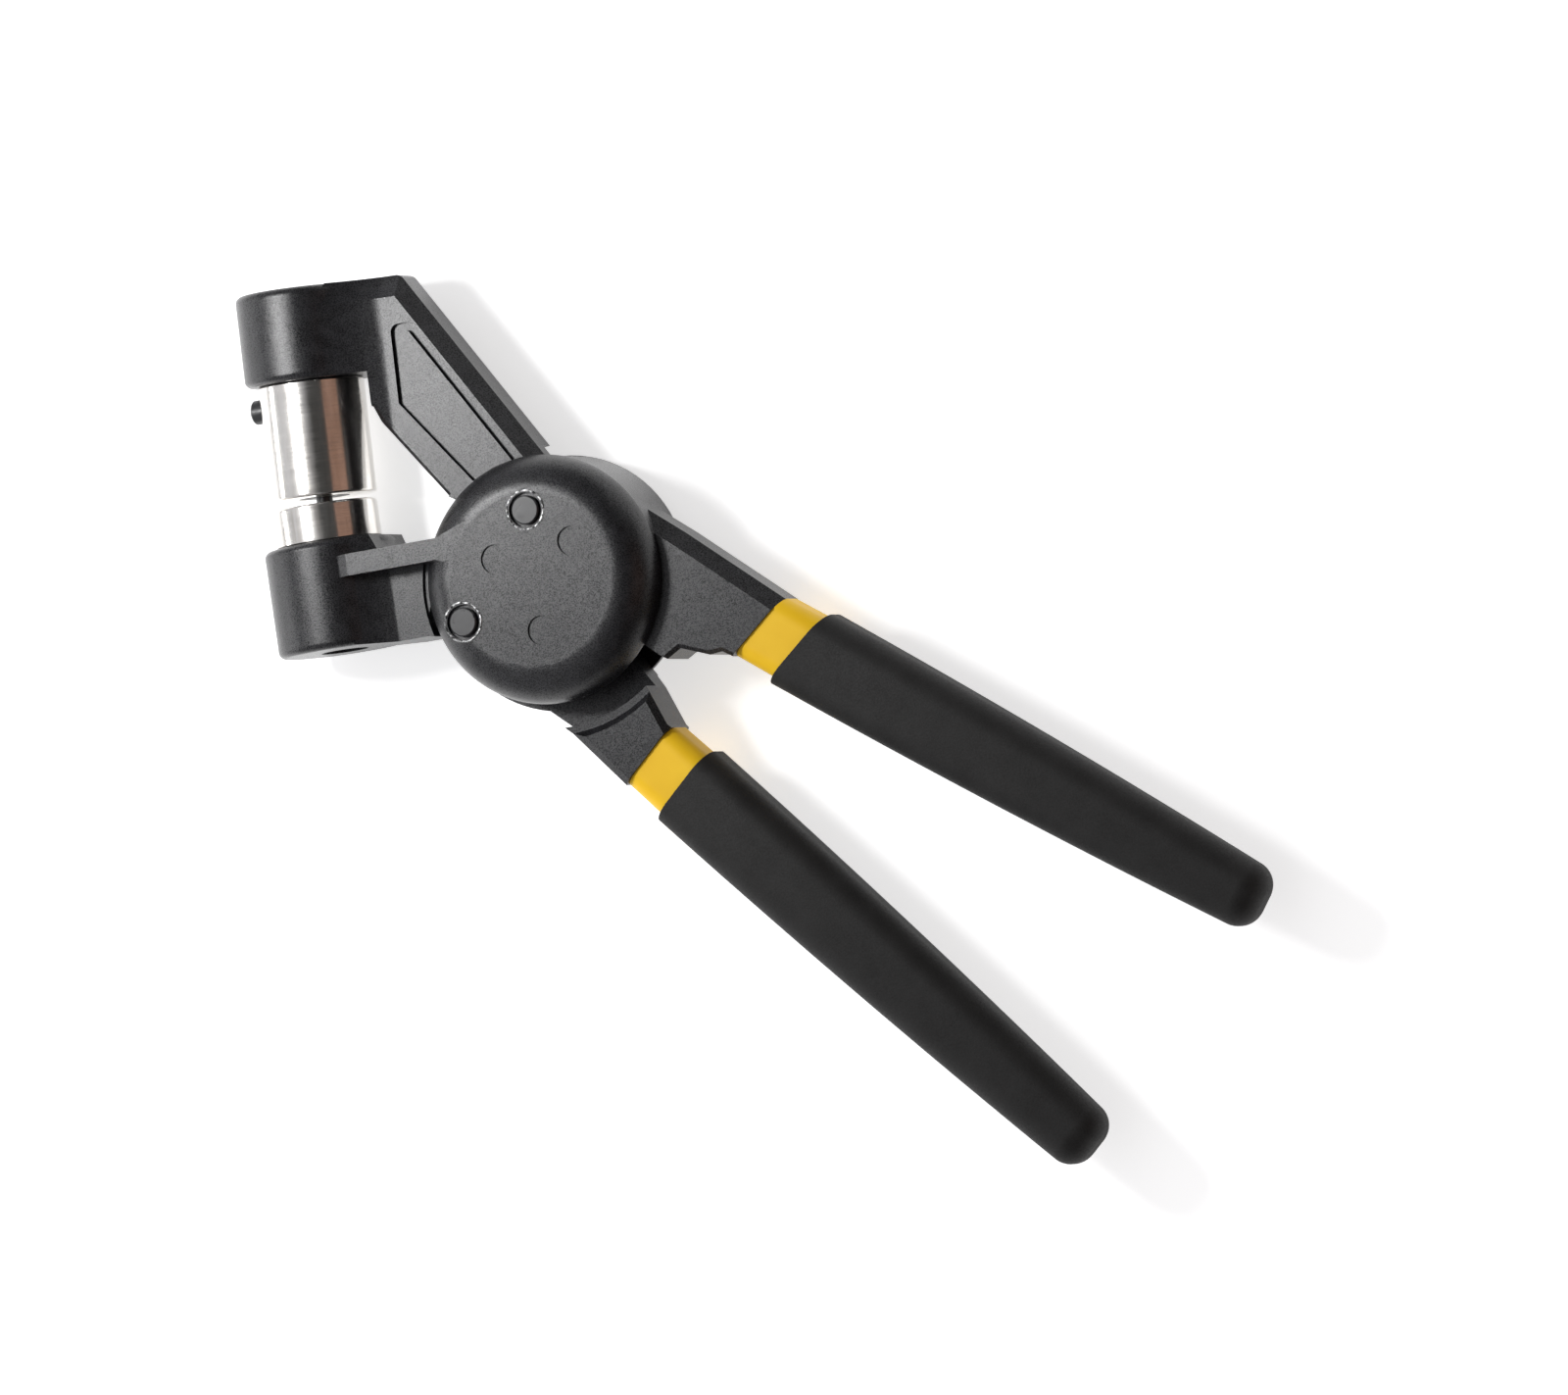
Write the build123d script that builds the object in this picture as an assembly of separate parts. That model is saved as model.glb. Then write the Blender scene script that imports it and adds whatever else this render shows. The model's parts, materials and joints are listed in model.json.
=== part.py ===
from build123d import *
import os
from math import atan2, cos, degrees, hypot, radians, sin, tan

# Snap setter pliers. Millimetres and degrees. The drawing's origin is the hub's centre, halfway through
# the tool: X runs from the dies to the handles, Y along the lower die towards the upper jaw, Z to the front.

# Dies and their barrels, along one axis parallel to Y
die_x = -46.4
lower_barrel_r = 12.8
lower_barrel_bottom = -6.5
lower_barrel_top = 14.5
upper_barrel_r = 12.8
upper_barrel_length = 17.9
barrel_rounding = 1.4
die_r = 10.3
die_edge = 0.5
lower_die_height = 7.5
lower_shank_r = 6.0
lower_shank_length = 9.0
snap_seat_r = 6.2
snap_seat_depth = 1.4
holder_length = 22.5
holder_shank_r = 6.5
holder_shank_length = 9.0
punch_r = 5.0
punch_length = 20.5
punch_tip_r = 1.6
punch_tip_length = 1.1
die_contact_gap = 0.1
set_screw_r = 2.4
set_screw_drop = 4.4
set_screw_proud = 2.3
set_screw_socket_r = 1.25

# Cap screws that hold the two dies
cap_screw_r = 2.5
cap_head_r = 4.4
cap_head_height = 4.0
cap_head_recess = 4.6
cap_socket_r = 2.2
cap_socket_depth = 2.4

# Jaw plates, webs and their slopes
plate_half = 6.0
web_gap = 0.2
bevel_width = 2.8
bevel_depth = 2.8
thin_bevel = 0.8
arm_top_bevel = 4.2
arm_blend_x = 19.0
blend_sink = 0.15
blend_slope = 14.0
neck_half = 7.2
neck_blend_x = 15.0
neck_top = 10.9
neck_step_x = 0.4
neck_bottom = -7.0
arm_corner = (-23.8, 1.8)
arm_root_outer = (1.2, 25.0)
arm_root_reach = 6.0
arm_root_inner = (-17.9, 18.4)
arm_elbow_y = 34.6
arm_side_gap = 2.3
groove_depth = 1.0
groove_wide = 1.5
groove_narrow = 1.0
groove_from_side = 1.2
groove_from_top = 9.6
groove_from_blend = 1.4
groove_low = 2.0
groove_start = (5.4, 2.4)
groove_above_elbow = 3.0

# Hub
hub_r = 24.0
hub_wall = 2.5
cover_seat_z = 6.5
plateau_z = 13.5
shoulder_width = 8.0
shoulder_drop = 6.6
back_rim_z = -7.4
back_step_r = 20.0
back_step_z = -9.2
back_face_r = 15.0
back_face_z = -12.8
cover_gap = 1.4
wall_foot_angle = 199.0
jaw_step_gap = 2.0
lever_step_gap = 4.7
lever_ledge = 2.6
lever_ledge_drop = 1.3
lever_shoulder = (-9.4, 11.4)
lever_inner_start = (16.9, -23.6)
lever_web_out = (7.0, -2.0)
lever_web_in = (2.0, 6.0)
fixed_root_foot = (25.2, -17.4)
fixed_root_bend = (31.0, -19.6)
fixed_root_lip = (-2.0, 1.3)
fixed_root_top = (28.8, 4.5)
fixed_root_step = 2.2
rib_end_x = 6.0
rib_low_y = 6.8
rib_high_y = 11.0
rib_end_z = 12.9
rib_lead = 2.4
rib_drop = 1.4
rib_foot_length = 4.0
rib_flare = 1.6
cover_boss_height = 3.4
cover_boss_wall = 1.5
mark_r = 2.8
mark_depth = 0.4
mark_spots = [(-7.0, 5.0), (0.5, -10.0), (9.2, 6.0)]

# Pivots, bushes and the drive between lever and jaw
jaw_pivot = (0.8, 13.3)
lever_pivot = (-15.3, -5.9)
pin_r = 2.8
pin_ring_gap = 0.55
pin_ring_depth = 0.8
pin_halo_r = 4.1
pin_halo_height = 0.05
pin_proud = 0.35
clip_groove_r = 2.1
clip_r = 4.6
clip_thickness = 0.8
clip_recess_depth = 2.4
bush_wall = 1.4
running_clearance = 0.05
seat_clearance = 0.02
drive_pin_at = (1.0, -8.0)
drive_pin_r = 2.0
roller_r = 3.5
roller_side_gap = 0.15
slot_clearance = 0.08
jaw_boss_r = 8.3
lever_boss_r = 9.8
slot_wall = 3.0
lever_open = -26.0
lever_closed = 3.6
jaw_per_lever = 0.5
moving_clearance = 0.5

# Cover screws, from the back
screw_angles = [155.0, 40.0, -5.0]
screw_inset = 4.0
screw_boss_r = 3.4
cover_screw_r = 1.5
cover_screw_head_r = 2.7
cover_screw_head = 1.6
cover_screw_bite = 3.0

# Return spring round the jaw pivot
wire_r = 0.5
spring_turns = 3
spring_boss_r = 4.2
spring_gap = 0.3
spring_leg = 11.0
spring_post_r = 1.0
spring_post_gap = 0.6

# Handles: each has a flat tang inside a yellow liner inside a black grip
fixed_axis_angle = -36.4
fixed_band_at = (41.4, -16.0)
fixed_band_skew = 15.0
lever_axis_angle = -48.6
lever_band_at = (15.2, -36.8)
lever_band_skew = 0.0
band_length = 9.0
band_width = 14.4
band_thickness = 11.0
fixed_grip_length = 105.0
lever_grip_length = 107.5
grip_width = 17.4
grip_mid_width = 15.6
grip_end_width = 12.6
grip_thickness = 13.2
grip_end_thickness = 11.0
grip_skin = 1.7
grip_end_rounding = 4.6
tang_width = 9.0
tang_end_width = 5.0
tang_half = 3.2
tang_stop = 9.0

# Sizes that follow from those above
lower_die_face = lower_barrel_top + lower_die_height
upper_barrel_bottom = lower_die_face + die_contact_gap + holder_length
upper_barrel_top = upper_barrel_bottom + upper_barrel_length
rest_open = lever_closed * jaw_per_lever
plate_end = 60.0
screw_circle_r = hub_r - screw_inset
standing = (Align.CENTER, Align.CENTER, Align.MIN)


def turned_point(point, pivot, angle):
    """A point of the drawing turned about a pivot."""
    dx = point[0] - pivot[0]
    dy = point[1] - pivot[1]
    c = cos(radians(angle))
    s = sin(radians(angle))
    return (pivot[0] + dx * c - dy * s, pivot[1] + dx * s + dy * c)


def turned(shape, pivot, angle):
    """A solid turned about a pivot that is parallel to Z."""
    there = Pos(pivot[0], pivot[1], 0)
    return there * Rot(0, 0, angle) * there.inverse() * shape


def along(start, angle, distance, side=0.0):
    """The point at a distance from start along an angle, and off to its left by side."""
    c = cos(radians(angle))
    s = sin(radians(angle))
    return (start[0] + distance * c - side * s, start[1] + distance * s + side * c)


def prism(face, low, high):
    """A flat outline made solid between two heights."""
    return extrude(Pos(0, 0, low) * face, amount=high - low, dir=(0, 0, 1))


def outline(points, radii=None):
    """A closed outline, with a radius for each corner where one is given."""
    if radii is None:
        return make_face(Polyline(*points, close=True))
    return make_face(FilletPolyline(*points, radius=radii, close=True))


def post(centre, radius, low, high):
    """A cylinder along Z between two heights."""
    return Pos(centre[0], centre[1], low) * Cylinder(radius, high - low, align=standing)


def dish(radius, top, depth):
    """A cutter round the hub's axis whose side slopes in at 45 degrees below its top."""
    cone = Cone(radius - depth, radius, depth, align=standing)
    return Pos(0, 0, top - depth) * cone + post((0, 0), radius, top, top + plate_half)


def rod(radius, low, high, rounding=0.0):
    """A cylinder on the die axis, between two heights along Y."""
    body = Cylinder(radius, high - low, align=standing)
    if rounding > 0:
        body = fillet(body.edges().filter_by(GeomType.CIRCLE), rounding)
    return Pos(die_x, low, 0) * Rot(-90, 0, 0) * body


def hex_socket(radius, depth):
    """A six-sided pocket that opens downwards at the origin and runs up Z."""
    return extrude(RegularPolygon(radius, 6, major_radius=False), depth)


def inset_outline(points, insets):
    """The outline moved inwards by its own distance at each edge; the points run counterclockwise."""
    moved = []
    count = len(points)
    for i in range(count):
        p = points[i]
        q = points[(i + 1) % count]
        length = hypot(q[0] - p[0], q[1] - p[1])
        normal = (-(q[1] - p[1]) / length, (q[0] - p[0]) / length)
        moved.append((p[0] + normal[0] * insets[i], p[1] + normal[1] * insets[i], q[0] - p[0], q[1] - p[1]))
    corners = []
    for i in range(count):
        x1, y1, dx1, dy1 = moved[i - 1]
        x2, y2, dx2, dy2 = moved[i]
        t = ((x2 - x1) * dy2 - (y2 - y1) * dx2) / (dx1 * dy2 - dy1 * dx2)
        corners.append((x1 + dx1 * t, y1 + dy1 * t))
    return corners


def bevel_cutters(p, q, width, depth, before=0.0, after=0.0):
    """Blocks that slope both faces of a plate to its edge from p to q, with the plate on its left."""
    half = plate_half
    length = hypot(q[0] - p[0], q[1] - p[1]) + before + after
    angle = degrees(atan2(q[1] - p[1], q[0] - p[0]))
    slope = degrees(atan2(depth, width))
    reach = 4 * width
    block = Box(length, 2 * reach, 2 * reach, align=(Align.MIN, Align.CENTER, Align.MIN))
    front = Pos(p[0], p[1], half - depth) * Rot(0, 0, angle) * Pos(-before, 0, 0) * Rot(slope, 0, 0) * block
    return front + mirror(front, Plane.XY)


def soften(plate, points, sides):
    """The plate with a thin bevel on both faces along some sides of its outline."""
    middles = []
    for i in sides:
        p = points[i]
        q = points[(i + 1) % len(points)]
        middles.append(((p[0] + q[0]) / 2, (p[1] + q[1]) / 2))
    picked = plate.edges().filter_by(
        lambda e: abs(abs(e.center().Z) - plate_half) < 0.01
        and any(hypot(e.center().X - x, e.center().Y - y) < 0.01 for x, y in middles)
    )
    return chamfer(picked, thin_bevel)


def blended_section(barrel_r, half, reach_x, far_x):
    """A flat plate that rises through a hollow curve to sink into a barrel, drawn across the die axis."""
    inside_r = barrel_r - blend_sink
    lean = sin(radians(blend_slope))
    rise = cos(radians(blend_slope))
    room = inside_r - reach_x * lean - half * rise
    blend_r = (reach_x ** 2 + half ** 2 - inside_r ** 2) / (2 * room)
    hollow = (die_x + reach_x + blend_r * lean, half + blend_r * rise)
    share = inside_r / (inside_r + blend_r)
    touch = (die_x + (hollow[0] - die_x) * share, hollow[1] * share)
    touch_angle = degrees(atan2(touch[1] - hollow[1], touch[0] - hollow[0]))
    middle = along(hollow, (touch_angle - 90 - blend_slope) / 2, blend_r)
    foot = (die_x + reach_x, half)
    upper = [
        ThreePointArc(touch, middle, foot),
        Line(foot, (far_x, half)),
    ]
    lower = [mirror(edge, Plane.XZ) for edge in upper]
    ends = [Line((far_x, half), (far_x, -half)), Line((touch[0], -touch[1]), touch)]
    return make_face(upper + lower + ends)


def across(section, y):
    """A section drawn in X and Z, placed at a height along Y."""
    return Plane((0, y, 0), x_dir=(1, 0, 0), z_dir=(0, -1, 0)) * section


def blended_body(barrel_r, half, reach_x, far_x, low, high):
    """The blended section run along Y."""
    section = across(blended_section(barrel_r, half, reach_x, far_x), low)
    return extrude(section, amount=high - low, dir=(0, 1, 0))


def wedge(from_angle, to_angle, reach, low, high):
    """A wedge from the hub's centre outwards, between two angles."""
    centre = (0, 0)
    middle = (from_angle + to_angle) / 2
    far = reach * 2
    points = [
        centre,
        along(centre, from_angle, far),
        along(centre, middle, far * 2),
        along(centre, to_angle, far),
    ]
    return prism(outline(points), low, high)


def turned_profile(points):
    """A solid of revolution about the hub's axis from radius and height points."""
    return revolve(Plane.XZ * make_face(Polyline(*points, close=True)), Axis.Z)


def tang(start, angle, length):
    """The flat bar of a handle, inside its grip."""
    near = tang_width / 2
    far = tang_end_width / 2
    reach = length - tang_stop
    points = [
        along(start, angle, -2, -near),
        along(start, angle, reach, -far),
        along(start, angle, reach, far),
        along(start, angle, -2, near),
    ]
    return prism(outline(points), -tang_half, tang_half)


def sleeve(start, angle, stations):
    """A rounded bar lofted through stations of distance, width, thickness and corner share."""
    sections = []
    upright = Plane(origin=(0, 0, 0), x_dir=(0, 1, 0), z_dir=(1, 0, 0))
    for distance, width, thickness, share in stations:
        corner = thickness / 2 * share
        place = Pos(start[0], start[1], 0) * Rot(0, 0, angle) * Pos(distance, 0, 0)
        sections.append(place * (upright * RectangleRounded(width, thickness, corner)))
    return loft(sections)


def grip_stations(length, less=0.0, start=0.0):
    """Stations of a grip; less takes a skin off all round."""
    return [
        (start, grip_width - 2 * less, grip_thickness - 2 * less, 0.72),
        (length * 0.32, grip_width - 0.5 - 2 * less, grip_thickness - 2 * less, 0.76),
        (length * 0.62, grip_mid_width - 2 * less, grip_thickness - 0.8 - 2 * less, 0.82),
        (length - less, grip_end_width - 2 * less, grip_end_thickness - 2 * less, 0.9),
    ]


def rounded_end(body, start, angle, length, radius):
    """The body with its far end rounded."""
    tip = along(start, angle, length)
    near = grip_end_width / 2 + 0.5
    edges = body.edges().filter_by(
        lambda e: hypot(e.center().X - tip[0], e.center().Y - tip[1]) < near
    )
    return fillet(edges, radius)


def pin_seats(z_low, z_high, extra=0.0):
    """Both pivot pins' holes between two heights."""
    radius = pin_r + seat_clearance + extra
    return post(jaw_pivot, radius, z_low, z_high) + post(lever_pivot, radius, z_low, z_high)


def wall_angles():
    """Where the hub's side wall ends, clear of the jaw and the lever as they swing."""
    clear = degrees(moving_clearance * 2 / hub_r)
    edge_at_wall = arm_edge(hypot(*arm_root_outer) - hub_r + hub_wall + moving_clearance)
    jaw_right = turned_point(edge_at_wall, jaw_pivot, (lever_open - lever_closed) * jaw_per_lever)
    jaw_left = arm_root_inner
    lever_right = turned_point(lever_inner_edge()[0], lever_pivot, lever_closed)
    top = degrees(atan2(jaw_right[1], jaw_right[0])) - clear
    left = degrees(atan2(jaw_left[1], jaw_left[0])) + clear
    low = degrees(atan2(lever_right[1], lever_right[0])) + 4 * clear
    return low, top, left


def lever_inner_edge():
    """The lever's edge that faces the fixed handle, from the hub out to its band."""
    return [lever_inner_start, along(lever_band_at, lever_axis_angle, -1.0, band_width / 2)]


def neck_outline():
    """The neck between the lower barrel and the hub."""
    return [
        (die_x, lower_barrel_bottom + 0.6),
        (die_x + lower_barrel_r + 1.5, neck_bottom),
        (-hub_r * 0.75, neck_bottom),
        (-hub_r * 0.75, neck_top),
        (die_x + lower_barrel_r + neck_step_x, neck_top),
        (die_x + lower_barrel_r + neck_step_x - 1.4, lower_barrel_top),
        (die_x, lower_barrel_top),
    ]


def barrel_and_neck(grow=0.0):
    """The lower barrel with its neck; grow swells it for what has to seat against it."""
    length = lower_barrel_top - neck_bottom
    radius = lower_barrel_r + grow
    body = blended_body(radius, neck_half + grow, neck_blend_x, 0, neck_bottom, lower_barrel_top)
    body &= prism(outline(neck_outline()), -length, length)
    return body + rod(radius, lower_barrel_bottom, lower_barrel_top, barrel_rounding)


def fixed_root_outline():
    """The solid part of the fixed handle, from the hub to its band."""
    lean = band_width / 2 * tan(radians(fixed_band_skew))
    rim = hub_r * cos(radians(44))
    end_low = along(fixed_band_at, fixed_axis_angle, -lean, -band_width / 2)
    end_high = along(fixed_band_at, fixed_axis_angle, lean, band_width / 2)
    return [
        (hub_r * 0.5, -hub_r * 0.6),
        (rim, -rim - 1.0),
        (rim + fixed_root_step, -rim - 1.0 - fixed_root_step),
        fixed_root_foot,
        fixed_root_bend,
        (end_low[0] + fixed_root_lip[0], end_low[1] + fixed_root_lip[1]),
        end_low,
        end_high,
        fixed_root_top,
        (hub_r * 0.86, hub_r * 0.46),
        (hub_r * 0.5, hub_r * 0.6),
    ]


def lower_jaw_frame():
    """Main casting: lower barrel, neck, back half of the hub and the fixed handle."""
    low, top, left = wall_angles()
    inner = hub_r - hub_wall
    back = turned_profile([
        (0, -cover_seat_z), (hub_r, -cover_seat_z), (hub_r, back_rim_z), (back_step_r + 2.2, back_step_z),
        (back_step_r, back_step_z), (back_face_r + 1.2, back_face_z + 1.0), (back_face_r, back_face_z),
        (0, back_face_z),
    ])
    hollow_z = back_face_z + hub_wall + 0.7
    back -= post((0, 0), back_face_r - hub_wall, hollow_z, -cover_seat_z)
    body = barrel_and_neck()
    body -= post((0, 0), hub_r + cover_gap, cover_seat_z, neck_half + 1)
    body -= post((0, 0), hub_r + cover_gap, -neck_half - 1, -cover_seat_z)
    root = outline(fixed_root_outline())
    points = fixed_root_outline()
    handle = prism(root, -plate_half, plate_half)
    handle = soften(handle, points, [2, 3, 4, 5])
    handle -= bevel_cutters(points[7], points[8], bevel_width, bevel_depth, before=4)
    handle -= bevel_cutters(points[8], points[9], bevel_width, bevel_depth, before=1, after=4)
    body += handle + post((0, 0), hub_r, -cover_seat_z, cover_seat_z)
    body -= wedge(top, left, hub_r, -neck_half - 1, neck_half + 1)
    body -= wedge(wall_foot_angle, 360 + low, hub_r, -neck_half - 1, neck_half + 1)
    body -= post((0, 0), inner, -cover_seat_z, neck_half + 1)
    body += back
    for angle in screw_angles:
        body += post(along((0, 0), angle, screw_circle_r), screw_boss_r, -cover_seat_z, cover_seat_z)
    body -= post(lever_pivot, lever_boss_r + moving_clearance, -cover_seat_z, cover_seat_z)
    body += post(jaw_pivot, jaw_boss_r - 2, back_face_z + 0.1, web_gap - 0.1)
    body += post(lever_pivot, pin_halo_r, back_face_z + 0.1, -plate_half - web_gap)
    body -= pin_seats(back_face_z - 1, cover_seat_z + 1)
    for pivot in (jaw_pivot, lever_pivot):
        body -= post(pivot, clip_r + 0.2, back_face_z - 1, back_face_z + clip_recess_depth)
    for angle in screw_angles:
        spot = along((0, 0), angle, screw_circle_r)
        body -= post(spot, cover_screw_r + seat_clearance, back_face_z - 1, cover_seat_z + 1)
        body -= post(spot, cover_screw_head_r + 0.2, back_face_z - 1, back_rim_z + 0.4)
    body += tang(fixed_band_at, fixed_axis_angle, band_length + fixed_grip_length)
    shank_end = lower_barrel_top - lower_shank_length
    body -= rod(lower_shank_r + seat_clearance, shank_end - 0.5, lower_barrel_top + 1)
    body -= rod(cap_screw_r + seat_clearance, lower_barrel_bottom - 1, lower_barrel_top)
    body -= rod(cap_head_r + 0.2, lower_barrel_bottom - 1, lower_barrel_bottom + cap_head_recess)
    return body


def hub_cover():
    """The domed front cover, with the flat rib that braces it against the lower barrel."""
    centre_r = hub_r - shoulder_width
    inner_r = hub_r - hub_wall
    rise = plateau_z - shoulder_drop
    bend = sin(radians(45))
    arc_out = (centre_r + shoulder_width * bend, rise + shoulder_drop * bend)
    arc_in = (centre_r + (shoulder_width - hub_wall) * bend, rise + (shoulder_drop - hub_wall) * bend)
    lines = [
        Line((0, plateau_z), (centre_r, plateau_z)),
        ThreePointArc((centre_r, plateau_z), arc_out, (hub_r, rise)),
        Line((hub_r, rise), (hub_r, cover_seat_z)),
        Line((hub_r, cover_seat_z), (inner_r, cover_seat_z)),
        Line((inner_r, cover_seat_z), (inner_r, rise)),
        ThreePointArc((inner_r, rise), arc_in, (centre_r, plateau_z - hub_wall)),
        Line((centre_r, plateau_z - hub_wall), (0, plateau_z - hub_wall)),
        Line((0, plateau_z - hub_wall), (0, plateau_z)),
    ]
    body = revolve(Plane.XZ * make_face(lines), Axis.Z)
    rib_x = die_x + rib_end_x
    rib_side = Polyline(
        (rib_x, cover_seat_z), (-centre_r, cover_seat_z), (-centre_r, plateau_z - hub_wall),
        (-centre_r + rib_foot_length, plateau_z - hub_wall), (-centre_r + rib_foot_length, plateau_z),
        (-centre_r, plateau_z),
        (rib_x + rib_lead, rib_end_z), (rib_x, rib_end_z - rib_drop), close=True,
    )
    foot_x = -centre_r + rib_foot_length
    rib_plan = outline([
        (rib_x, rib_low_y),
        (-centre_r - 3, rib_low_y),
        (-centre_r + 1, rib_low_y - rib_flare),
        (foot_x, rib_low_y - rib_flare),
        (foot_x, rib_high_y + rib_flare * 1.5),
        (foot_x - 2, rib_high_y + rib_flare),
        (-centre_r - 2.5, rib_high_y),
        (rib_x, rib_high_y),
    ])
    rib = extrude(across(make_face(rib_side), rib_low_y - 5), amount=rib_high_y + 10, dir=(0, 1, 0))
    rib &= prism(rib_plan, cover_seat_z, plateau_z + 1)
    rib -= barrel_and_neck(seat_clearance)
    rib -= post((0, 0), hub_r - hub_wall / 2, 0, rise)
    body += rib
    for pivot, floor in ((jaw_pivot, plate_half + web_gap), (lever_pivot, web_gap)):
        body += post(pivot, spring_boss_r, floor, plateau_z - 0.5)
        body += post(pivot, pin_halo_r, plateau_z - hub_wall, plateau_z + pin_halo_height)
    for angle in screw_angles:
        spot = along((0, 0), angle, screw_circle_r)
        body += post(spot, cover_screw_r + cover_boss_wall, cover_seat_z, cover_seat_z + cover_boss_height)
    body -= pin_seats(0, plateau_z + 1)
    body -= pin_seats(plateau_z - pin_ring_depth, plateau_z + 1, pin_ring_gap)
    for angle in screw_angles:
        spot = along((0, 0), angle, screw_circle_r)
        body -= post(spot, cover_screw_r + seat_clearance, 0, cover_seat_z + cover_screw_bite + 0.1)
    for spot in mark_spots:
        body -= post(spot, mark_r, plateau_z - mark_depth, plateau_z + 1)
    return body


def pivot_pin(pivot):
    """A plain pivot pin with a clip groove near its back end."""
    back = back_face_z + 0.2
    groove = back_face_z + clip_recess_depth - clip_thickness
    pin = post(pivot, pin_r, back, plateau_z + pin_proud)
    pin = chamfer(pin.edges().filter_by(GeomType.CIRCLE), 0.25)
    ring = post(pivot, pin_r + 1, groove - 0.02, groove + clip_thickness)
    return pin - (ring - post(pivot, clip_groove_r, groove - 1, groove + clip_thickness + 1))


def pin_clips():
    """Retaining clips in the recesses at the back of both pivot pins."""
    base = back_face_z + clip_recess_depth - clip_thickness + 0.02
    clips = []
    for pivot, angle in ((jaw_pivot, -90), (lever_pivot, 60)):
        ring = post(pivot, clip_r, base, base + clip_thickness - 0.04)
        ring -= post(pivot, clip_groove_r + seat_clearance, base - 1, base + 2)
        mouth = Box(clip_r * 2, clip_groove_r * 1.5, 4, align=(Align.MIN, Align.CENTER, Align.CENTER))
        ring -= Pos(pivot[0], pivot[1], base) * Rot(0, 0, angle) * mouth
        clips.append(ring)
    return Compound(children=clips)


def cover_screws():
    """Three socket screws that hold the cover from the back."""
    seat = back_rim_z + 0.4
    screws = []
    for angle in screw_angles:
        spot = along((0, 0), angle, screw_circle_r)
        screw = post(spot, cover_screw_r, seat, cover_seat_z + cover_screw_bite)
        screw += post(spot, cover_screw_head_r, seat - cover_screw_head, seat)
        socket = prism(Pos(spot[0], spot[1]) * RegularPolygon(cover_screw_r * 0.8, 6), seat - 3, seat - 0.6)
        screws.append(screw - socket)
    return Compound(children=screws)


def cap_screw(face, inward, length):
    """A hexagon socket cap screw on the die axis; face is the head's seat, inward is +1 or -1 along Y."""
    head = Cylinder(cap_head_r, cap_head_height, align=standing)
    head = chamfer(head.edges().filter_by(GeomType.CIRCLE), 0.35)
    head -= hex_socket(cap_socket_r, cap_socket_depth)
    shank = Pos(0, 0, cap_head_height) * Cylinder(cap_screw_r, length, align=standing)
    return Pos(die_x, face - inward * cap_head_height, 0) * Rot(-90 * inward, 0, 0) * (head + shank)


def lower_die():
    """The anvil, with a dished seat for the cap of a snap."""
    head = rod(die_r, lower_barrel_top, lower_die_face, die_edge)
    shank = rod(lower_shank_r, lower_barrel_top - lower_shank_length, lower_barrel_top + 0.5)
    body = head + shank
    body -= rod(snap_seat_r, lower_die_face - snap_seat_depth, lower_die_face + 1)
    thread = lower_barrel_top - lower_shank_length
    return body - rod(cap_screw_r + seat_clearance, thread - 1, thread + 7)


def lower_die_screw():
    """The screw under the lower barrel that draws the anvil down."""
    seat = lower_barrel_bottom + cap_head_recess
    return cap_screw(seat, 1, lower_barrel_top - lower_shank_length + 6 - seat)


def coil_spring():
    """A torsion spring round the jaw's pivot boss, one leg on the cover's wall, one on the jaw's post."""
    radius = spring_boss_r + spring_gap + wire_r
    pitch = 2 * wire_r + 0.06
    start = plate_half + 0.25 + wire_r
    path = Pos(jaw_pivot[0], jaw_pivot[1], start) * Helix(pitch, pitch * spring_turns, radius)
    coil = sweep(Plane(path @ 0, z_dir=path % 0) * Circle(wire_r), path=Wire(path.edges()), is_frenet=True)
    overlap = wire_r
    low_leg = Rot(90, 0, 0) * Pos(0, 0, -overlap) * Cylinder(wire_r, spring_leg + overlap, align=standing)
    high_leg = Rot(-90, 0, 0) * Pos(0, 0, -overlap) * Cylinder(wire_r, hub_wall + overlap, align=standing)
    coil += Pos(*(path @ 0)) * low_leg
    coil += Pos(*(path @ 1)) * high_leg
    return coil


def spring_post():
    """Where the jaw's small post stands, beside the spring's lower leg."""
    leg_x = jaw_pivot[0] + spring_boss_r + spring_gap + wire_r
    return (leg_x - wire_r - spring_post_r - spring_post_gap, jaw_pivot[1] - spring_leg + 2)


def slot_path():
    """Where the drive pin lies in the jaw at its two limits and halfway, on the jaw as it is at rest."""
    spots = []
    for angle in (lever_closed, (lever_closed + lever_open) / 2, lever_open):
        pin = turned_point(drive_pin_at, lever_pivot, angle)
        spots.append(turned_point(pin, jaw_pivot, -angle * jaw_per_lever))
    return spots


def arm_edge(distance):
    """A point on the arm's outer edge, at a distance past its root towards the hub."""
    angle = degrees(atan2(arm_root_outer[1] - upper_barrel_top, arm_root_outer[0] - arm_corner[0]))
    return along(arm_root_outer, angle, distance)


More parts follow.
